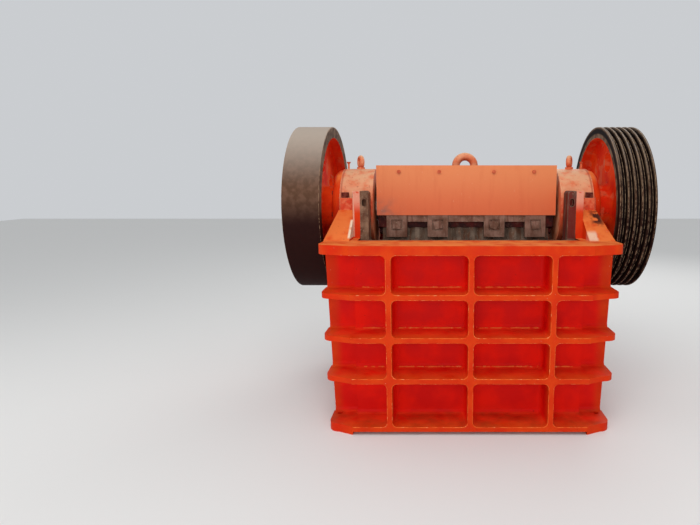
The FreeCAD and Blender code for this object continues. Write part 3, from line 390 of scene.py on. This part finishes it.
def wheel_iron(name, grooved, wear=False):
    """Grey iron: the rim is turned and bare, painted with a sky reflection on top and near-black shade on its
    lower half, the dish between hub and rim is painted and patchy.
    """
    material, tree, shader = new_material(name, roughness=0.68, gloss=0.08)
    point = add(tree, "TexCoord", {})["Object"]
    z = add(tree, "SeparateXYZ", {"Vector": point})["Z"]
    centred = add(tree, "Mapping", {"Vector": point, "Location": (0, -WHEEL_CENTRE.y, -WHEEL_CENTRE.z),
                                    "Scale": (0, 1, 1)})["Vector"]
    radius = add(tree, "VectorMath", {0: centred}, operation="LENGTH")["Value"]
    bare = blend(tree, spots(tree, point, 50 * MM, 0.35, 0.65), colour("#4E3A2C"), colour("#7A6450"))
    worn = ("#2A1A12", "#523A2A") if grooved else ("#553A2A", "#664838")
    turned_face_and_sheen = blend(tree, spots(tree, point, 30 * MM, 0.35, 0.65), colour(worn[0]), colour(worn[1]))
    # Painted reflection: the top of the rim is painted a pale tan.
    sunlit = between(tree, z, WHEEL_CENTRE.z + 110 * MM, WHEEL_CENTRE.z + 470 * MM)
    turned_face_and_sheen = blend(tree, both(tree, sunlit, 0.25 if grooved else 0.85), turned_face_and_sheen, colour("#B4A698"))
    side_face = between(tree, radius, WHEEL_RADIUS - 1 * MM, WHEEL_RADIUS - 9 * MM)
    rim = blend(tree, side_face, turned_face_and_sheen, bare)
    # Painted shade: the lower half of the rim is painted near black.
    painted_lower_shade = between(tree, z, WHEEL_CENTRE.z + 120 * MM, WHEEL_CENTRE.z - 80 * MM)
    rim = blend(tree, both(tree, painted_lower_shade, 0.8 if grooved else 0.97), rim, colour("#220807"))
    if grooved:
        # The grooves are darkened to near black.
        grooves = both(tree, between(tree, radius, WHEEL_RADIUS - 4 * MM, WHEEL_RADIUS - 16 * MM),
                       between(tree, radius, RIM_INSIDE + 20 * MM, RIM_INSIDE + 30 * MM))
        rim = blend(tree, grooves, rim, colour("#120605"))
    dish_red = blend(tree, spots(tree, point, 130 * MM, 0.35, 0.65), colour("#E02806"), colour("#F04A12"))
    paler_mask = both(tree, spots(tree, point, 60 * MM, 0.54, 0.64), 0.35)
    dish_red = blend(tree, paler_mask, dish_red, colour("#E0855A"))
    specks = both(tree, spots(tree, point, 24 * MM, 0.64, 0.72), 0.25)
    dish_red = blend(tree, specks, dish_red, colour("#5A1810"))
    painted = between(tree, radius, RIM_INSIDE + 3 * MM, RIM_INSIDE - 1 * MM)
    shade = blend(tree, painted, rim, dish_red)
    if wear:
        shade = blend(tree, spots(tree, point, 20 * MM, 0.4, 0.6), shade, colour("#A2866A"))
    tree.links.new(shade, shader.inputs["Base Color"])
    casting_relief(tree, shader, point, grain_depth=0.35 * MM, wave_depth=1.0 * MM)
    return material


pulley_iron = wheel_iron("turned_grey_iron_grooved", grooved=True)
flywheel_iron = wheel_iron("turned_grey_iron", grooved=False)
wheel_edges = wheel_iron("turned_grey_iron_rubbed_edges", grooved=False, wear=True)
print("wheel radius", round(WHEEL_RADIUS, 3), "m")


# %% Steel of bolts, shaft and springs
def plain_steel(name, dark, light, roughness, metallic, patch, depth):
    """Rolled or forged steel: mill scale and light rust in patches of about one size."""
    material, tree, shader = new_material(name, roughness=roughness, metallic=metallic)
    point = add(tree, "TexCoord", {})["Object"]
    shade = blend(tree, spots(tree, point, patch, 0.35, 0.65), colour(dark), colour(light))
    shade = blend(tree, both(tree, spots(tree, point, patch / 4, 0.58, 0.7), 0.6), shade, colour("#6B4630"))
    tree.links.new(shade, shader.inputs["Base Color"])
    scale = add(tree, "TexNoise", {"Vector": point, "Scale": 3 / patch, "Detail": 4.0})["Fac"]
    pitted = add(tree, "Bump", {"Height": scale, "Distance": depth, "Strength": 0.6})["Normal"]
    tree.links.new(pitted, shader.inputs["Normal"])
    return material


shaft_steel = plain_steel("turned_shaft_steel", "#7C746A", "#A29A90", 0.32, 0.9, 60 * MM, 0.2 * MM)
bolt_steel = plain_steel("forged_bolt_steel_painted_over", "#541A14", "#7A3A2C", 0.6, 0.25, 20 * MM,
                         0.5 * MM)
cover_bolt_paint = plain_steel("enamelled_bolt_heads", "#B84C2C", "#CC6440", 0.5, 0.1, 20 * MM, 0.3 * MM)
bare_steel = plain_steel("hot_rolled_steel", "#5C554E", "#857C72", 0.5, 0.7, 40 * MM, 0.4 * MM)
spring_steel = plain_steel("oil_tempered_spring_steel", "#26221F", "#4A433C", 0.42, 0.8, 25 * MM, 0.2 * MM)
print(len(bpy.data.materials), "materials so far")

# %% [markdown]
# ## Rounded casting edges
# A sand casting has no sharp edges: the pattern maker rounds every one by 3 to 6 mm so that the sand
# holds. The frame's meshes are sharp, so each casting is copied, its flat faces are joined back into
# whole ones, and a Bevel modifier rounds what is left. The bevel's own faces take a second material, the
# rubbed enamel, so the wear follows the edges exactly. The copy then stands for the CAD part in the
# picture.

# %% Casting finisher
def whole_faces(node):
    """A bmesh of a CAD part with its loose triangles joined into whole faces."""
    solid = bmesh.new()
    solid.from_mesh(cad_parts[node].data)
    bmesh.ops.remove_doubles(solid, verts=solid.verts, dist=0.01 * MM)
    bmesh.ops.dissolve_limit(solid, angle_limit=math.radians(0.4), verts=solid.verts, edges=solid.edges)
    return solid


def shown(name, solid, body, slot, *materials, crease=35):
    """Makes a finished piece of a bmesh: smooth where it curves, sharp past the crease angle."""
    mesh = bpy.data.meshes.new(name)
    for face in solid.faces:
        face.smooth = True
    solid.to_mesh(mesh)
    solid.free()
    for stale in [a.name for a in mesh.attributes if a.name in ("custom_normal", "sharp_face")]:
        mesh.attributes.remove(mesh.attributes[stale])
    for material in materials:
        mesh.materials.append(material)
    mesh.set_sharp_from_angle(angle=math.radians(crease))
    piece = bpy.data.objects.new(name, mesh)
    bpy.context.scene.collection.objects.link(piece)
    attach(piece, body)
    return piece


def rounded(piece, width, segments=2, material=-1):
    edge = piece.modifiers.new("rounded_edges", "BEVEL")
    edge.width, edge.segments = width, segments
    edge.limit_method = "WEIGHT"
    edge.use_clamp_overlap = True
    edge.harden_normals = True
    edge.material = material
    return piece


SEAM = 611 * MM                        # where end walls and side castings meet, painted over


def mark_edges(solid):
    """Every sharp edge is to be rounded, except along the painted seam between two castings."""
    weight = solid.edges.layers.float.new("bevel_weight_edge")
    for edge in solid.edges:
        on_seam = all(abs(abs(vertex.co.x) - SEAM) < 1 * MM for vertex in edge.verts)
        sharp = edge.is_manifold and edge.calc_face_angle() > math.radians(40)
        edge[weight] = 1.0 if sharp and not on_seam else 0.0


def casting(node, body, slot, paint, edges, width=3.5 * MM):
    solid = whole_faces(node)
    for face in solid.faces:
        face.material_index = 0
    mark_edges(solid)
    piece = shown(node + "_casting", solid, body, slot, paint, edges)
    rounded(piece, width, material=1)
    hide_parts(node)
    return piece


for node in ("front_wall", "rear_wall"):
    casting(node, "frame", "frame_paint", frame_paint, frame_edges)
for node in ("left_side_wall", "right_side_wall"):
    casting(node, "frame", "frame_paint", side_paint, frame_edges)
for node in ("left_bearing_housing", "right_bearing_housing"):
    casting(node, "frame", "housing_paint", housing_paint, housing_edges)
for node in ("left_bearing_cap", "right_bearing_cap"):
    casting(node, "frame", "frame_paint", frame_paint, frame_edges, 2 * MM)
casting("v_belt_pulley", "shaft", "wheel_iron", pulley_iron, wheel_edges, 1.5 * MM)
casting("flywheel", "shaft", "wheel_iron", flywheel_iron, wheel_edges, 1.5 * MM)
casting("swing_jaw", "jaw", "frame_paint", jaw_paint, jaw_paint)
casting("jaw_clamp_bar", "jaw", "manganese_steel", clamp_steel, manganese, 4 * MM)
casting("clamp_bolts", "jaw", "manganese_steel", clamp_steel, manganese, 3 * MM)
casting("left_cheek_plate", "frame", "manganese_steel", left_cheek_steel, manganese, 4 * MM)
casting("right_cheek_plate", "frame", "manganese_steel", right_cheek_steel, manganese, 4 * MM)
casting("head_cover", "jaw", "cover_paint", cover_paint, housing_edges, 1.5 * MM)

# %% [markdown]
# ## Paint and steel for the parts that stay as they are
# The rest of the frame already has its true shape, turned or round, so it only needs its finish. The
# material goes on the object's own slots, which leaves the shared mesh alone.

# %% Finishes for the CAD parts
FINISHES = {
    "fixed_jaw_plate": manganese, "moving_jaw_plate": manganese, "toggle_plate": manganese,
    "left_housing_bolts": bolt_steel, "right_housing_bolts": bolt_steel, "cover_bolts": cover_bolt_paint,
    "spring_nuts": bolt_steel,
    "left_housing_eye_bolt": housing_paint, "right_housing_eye_bolt": housing_paint,
    "head_lifting_eye": housing_paint, "left_grease_cup": housing_paint, "right_grease_cup": housing_paint,
    "pulley_end_plate": frame_paint, "flywheel_end_plate": frame_paint, "adjusting_block": frame_paint,
    "spring_cups": frame_paint, "eccentric_shaft": shaft_steel, "front_toggle_seat": bare_steel,
    "rear_toggle_seat": bare_steel, "shim_pack": bare_steel, "tension_rods": bare_steel,
}
for node, finish in FINISHES.items():
    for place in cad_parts[node].material_slots:
        place.link = "OBJECT"
        place.material = finish
print(len(FINISHES), "parts finished in place")

# %% [markdown]
# ## Wound springs
# Two springs pull the jaw's foot back against the toggle. In the frame each is a plain tube, which is
# enough to collide with. A real one is round wire wound into a coil, so a circle is spun round the rod
# while it travels along it: `spin` does both at once, with a full turn and a push along the axis. Each
# spring's two ends are closed by a ground flat, here a capped end hidden between its neighbours.

# %% Spring coils
WIRE_RADIUS = 9 * MM
COIL_TURNS = 9
STEPS_PER_TURN = 28


def coil(inner, outer, start, end, centre):
    """A spring wound round the Y axis at `centre`, from y = start to y = end."""
    middle = (inner + outer) / 2
    solid = bmesh.new()
    wire = bmesh.ops.create_circle(solid, cap_ends=False, segments=14, radius=WIRE_RADIUS)["verts"]
    upright = Matrix.Translation((centre.x + middle, start + WIRE_RADIUS, centre.z))
    bmesh.ops.transform(solid, matrix=upright, verts=wire)
    steps = COIL_TURNS * STEPS_PER_TURN
    travel = Vector((0, (end - start - 2 * WIRE_RADIUS) / steps, 0))
    bmesh.ops.spin(solid, geom=solid.verts[:] + solid.edges[:], cent=(centre.x, 0, centre.z),
                   axis=(0, 1, 0), dvec=travel, angle=2 * math.pi * COIL_TURNS, steps=steps)
    bmesh.ops.remove_doubles(solid, verts=solid.verts, dist=0.01 * MM)
    bmesh.ops.holes_fill(solid, edges=[e for e in solid.edges if e.is_boundary], sides=20)
    bmesh.ops.recalc_face_normals(solid, faces=solid.faces)
    return solid


SPRING_LOW, SPRING_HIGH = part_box("tension_springs")
spring_radius = (SPRING_HIGH.z - SPRING_LOW.z) / 2
for side, name in ((-1, "left"), (1, "right")):
    centre = Vector((side * (SPRING_HIGH.x - spring_radius), 0, (SPRING_LOW.z + SPRING_HIGH.z) / 2))
    solid = coil(spring_radius - 2 * WIRE_RADIUS, spring_radius, SPRING_LOW.y, SPRING_HIGH.y, centre)
    spring = shown(f"{name}_tension_coil", solid, "jaw", "spring_steel", spring_steel, crease=60)
    if side == 1:
        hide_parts("tension_springs")
    print(spring.name, len(spring.data.polygons), "faces")

# %% [markdown]
# ## Flash along the casting's corners
# Where the mould's halves met, iron leaked and froze into a ragged bead, which was knocked off roughly
# and painted over. It shows as a broken light line along the foot of every rib. Each bead starts as a
# thin rod, cut into short lengths and pushed about by noise, so no two stretches match. It sinks into the
# corner, and only its crest shows.

# %% Flash beads
BEAD_RADIUS = 5 * MM
BEAD_STEP = 14 * MM
BEAD_INSET = 22 * MM                   # a bead stops this short of the cell's corners
FILLET_DEPTH = 6 * MM                  # how far a cell's rounded corner stands off the sharp one


def flash_bead(start, end, radius=BEAD_RADIUS):
    """A ragged rod between two points, closed at both ends."""
    run = end - start
    pieces_along = max(4, int(run.length / BEAD_STEP))
    solid = bmesh.new()
    bmesh.ops.create_cone(solid, cap_ends=True, cap_tris=False, segments=8, radius1=radius, radius2=radius,
                          depth=run.length)
    long_edges = [e for e in solid.edges if abs(e.verts[0].co.z - e.verts[1].co.z) > run.length / 2]
    bmesh.ops.subdivide_edges(solid, edges=long_edges, cuts=pieces_along, use_grid_fill=True)
    turn = run.to_track_quat("Z", "Y").to_matrix().to_4x4()
    bmesh.ops.transform(solid, matrix=Matrix.Translation((start + end) / 2) @ turn, verts=solid.verts)
    for vertex in solid.verts:
        axis_point = start + run * ((vertex.co - start).dot(run) / run.length_squared)
        swell = 1 + 0.75 * noise.noise(vertex.co / (22 * MM)) + 0.35 * noise.noise(vertex.co / (8 * MM))
        vertex.co = axis_point + (vertex.co - axis_point) * max(0.25, swell)
    return solid


flash_paint = frame_enamel("brushed_alkyd_enamel_on_flash", wear=True)
RIB_TOPS = (307 * MM, 524 * MM, 747 * MM, 945 * MM)       # tops of the ribs, and the flange's underside
RIB_UNDERSIDES = (279 * MM, 496 * MM, 719 * MM)
CELLS = ((-590 * MM, -435 * MM), (-399 * MM, -18 * MM), (18 * MM, 399 * MM), (435 * MM, 590 * MM))
flash = bmesh.new()
for outward in (-1, 1):
    face_y = outward * CELL_FLOOR
    for left, right in CELLS:
        for level in RIB_TOPS[:3] + RIB_UNDERSIDES:
            above = 1 if level in RIB_TOPS else -1
            start = Vector((left + BEAD_INSET, face_y + outward * FILLET_DEPTH, level + above * FILLET_DEPTH))
            end = Vector((right - BEAD_INSET, start.y, start.z))
            bead = flash_bead(start, end)
            part = bpy.data.meshes.new("bead")
            bead.to_mesh(part)
            bead.free()
            flash.from_mesh(part)
            bpy.data.meshes.remove(part)
bmesh.ops.recalc_face_normals(flash, faces=flash.faces)
flash_piece = shown("casting_flash", flash, "frame", "frame_paint", flash_paint, crease=80)
print("flash beads:", len(flash_piece.data.polygons), "faces")

# %% [markdown]
# ## Bolts in the bearing caps
# Eight bolts hold each cap on its housing. They are forged hexagons with a chamfered crown. One function
# makes a head lying along the shaft, and a ring of them is the same head turned round the axis, a little
# out of step, as a fitter leaves them.

# %% Hexagon heads
CAP_SCREWS = 8
CAP_RING_RADIUS = 165 * MM
HEAD_ACROSS = 30 * MM
HEAD_RISE = 10 * MM
CHAMFER_SHARE = 0.18                   # of the head's rise
FIRST_SCREW_ANGLE = 0.2
OWN_TURN = math.radians(17)            # each head is left this much further round than the last


def hex_head(across_corners, rise):
    """A hexagon head standing on the origin along +X, with its crown chamfered."""
    solid = bmesh.new()
    bmesh.ops.create_cone(solid, cap_ends=True, cap_tris=False, segments=6, radius1=across_corners / 2,
                          radius2=across_corners / 2, depth=rise)
    crown = [e for e in solid.edges if all(v.co.z > rise / 2.1 for v in e.verts)]
    bmesh.ops.bevel(solid, geom=crown, offset=rise * CHAMFER_SHARE, affect="EDGES", segments=2, profile=0.5,
                    material=-1)
    stand = Matrix.Rotation(math.radians(90), 4, "Y") @ Matrix.Translation((0, 0, rise / 2))
    bmesh.ops.transform(solid, matrix=stand, verts=solid.verts)
    return solid


def bolt_ring(name, body, face_x, slot, finish):
    """Heads standing on a face at x = face_x, outwards, evenly round the shaft's axis."""
    side = 1 if face_x > 0 else -1
    ring = bmesh.new()
    for index in range(CAP_SCREWS):
        head = hex_head(HEAD_ACROSS, HEAD_RISE)
        spin_own = Matrix.Rotation(OWN_TURN * index, 4, "X")
        angle = FIRST_SCREW_ANGLE + 2 * math.pi * index / CAP_SCREWS
        where = SHAFT_AXIS + Vector((0, math.cos(angle), math.sin(angle))) * CAP_RING_RADIUS
        where.x = face_x - side * 1 * MM
        outward = Matrix.Identity(4) if side > 0 else Matrix.Rotation(math.pi, 4, "Z")
        bmesh.ops.transform(head, matrix=Matrix.Translation(where) @ outward @ spin_own, verts=head.verts)
        part = bpy.data.meshes.new("head")
        head.to_mesh(part)
        head.free()
        ring.from_mesh(part)
        bpy.data.meshes.remove(part)
    bmesh.ops.recalc_face_normals(ring, faces=ring.faces)
    return shown(name, ring, body, slot, finish, crease=25)


for side in ("left", "right"):
    cap_low, cap_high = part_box(f"{side}_bearing_cap")
    cap_face = cap_high.x if side == "right" else cap_low.x
    bolt_ring(f"{side}_cap_screws", "frame", cap_face, "bolt_steel", bolt_steel)
    print(side, "cap face", round(cap_face, 3))

# %% [markdown]
# ## The floor, the light and the camera
# The crusher stands on a plain pale floor. Large soft lamps overhead, in front and behind share most of
# the work, a weaker one fills the left side, and a pale world keeps the cells from going black. The
# camera stands two and a half metres ahead of the frame at chest height, aimed down by eight degrees, and
# its small shift frames the machine without turning the lens.

# %% Floor
FLOOR_HALF_SIDE = 14                   # metres
floor_mesh = bmesh.new()
bmesh.ops.create_grid(floor_mesh, x_segments=1, y_segments=1, size=FLOOR_HALF_SIDE)
floor_data = bpy.data.meshes.new("studio_floor")
floor_mesh.to_mesh(floor_data)
floor_mesh.free()
floor_material, _, floor_shader = new_material("matt_studio_floor", roughness=0.9)
floor_shader.inputs["Base Color"].default_value = colour("#E4E3E0")
floor_data.materials.append(floor_material)
floor = bpy.data.objects.new("studio_floor", floor_data)
bpy.context.scene.collection.objects.link(floor)

# %% Light
WORLD_STRENGTH = 0.7
AIM = (0, 0, 0.8)                      # the middle of the machine
world = bpy.data.worlds.new("pale_studio")
world.use_nodes = True
world.node_tree.nodes["Background"].inputs["Color"].default_value = colour("#EDF0F4")
world.node_tree.nodes["Background"].inputs["Strength"].default_value = WORLD_STRENGTH
bpy.context.scene.world = world
bpy.context.scene.view_settings.view_transform = "Standard"


def soft_lamp(name, place, target, size, power):
    lamp = bpy.data.lights.new(name, "AREA")
    lamp.shape, lamp.size, lamp.energy = "SQUARE", size, power
    holder = bpy.data.objects.new(name, lamp)
    holder.location = place
    holder.rotation_euler = (Vector(target) - Vector(place)).to_track_quat("-Z", "Y").to_euler()
    bpy.context.scene.collection.objects.link(holder)


soft_lamp("sky_lamp", (-0.5, -3.0, 4.6), (0, -0.2, 0.8), 2.4, 75)
soft_lamp("front_lamp", (-0.4, -6.0, 1.6), AIM, 3.0, 75)
soft_lamp("fill_lamp", (-4.5, -2.0, 2.0), AIM, 2.5, 25)
soft_lamp("rear_lamp", (2.5, 4.0, 4.0), AIM, 3.0, 70)

# %% Camera
FOCAL_LENGTH = 26.42                   # on a sensor 36 mm wide
SENSOR_WIDTH = 36
SHIFT_ACROSS, SHIFT_UP = -0.1246, -0.0147
CAMERA_PLACE = (-0.171, -3.181, 1.326)
CAMERA_TILT = math.radians(81.85)
camera_data = bpy.data.cameras.new("camera")
camera_data.lens, camera_data.sensor_width = FOCAL_LENGTH, SENSOR_WIDTH
camera_data.shift_x, camera_data.shift_y = SHIFT_ACROSS, SHIFT_UP
camera = bpy.data.objects.new("camera", camera_data)
camera.location = CAMERA_PLACE
camera.rotation_euler = Euler((CAMERA_TILT, 0, 0))
bpy.context.scene.collection.objects.link(camera)
bpy.context.scene.camera = camera
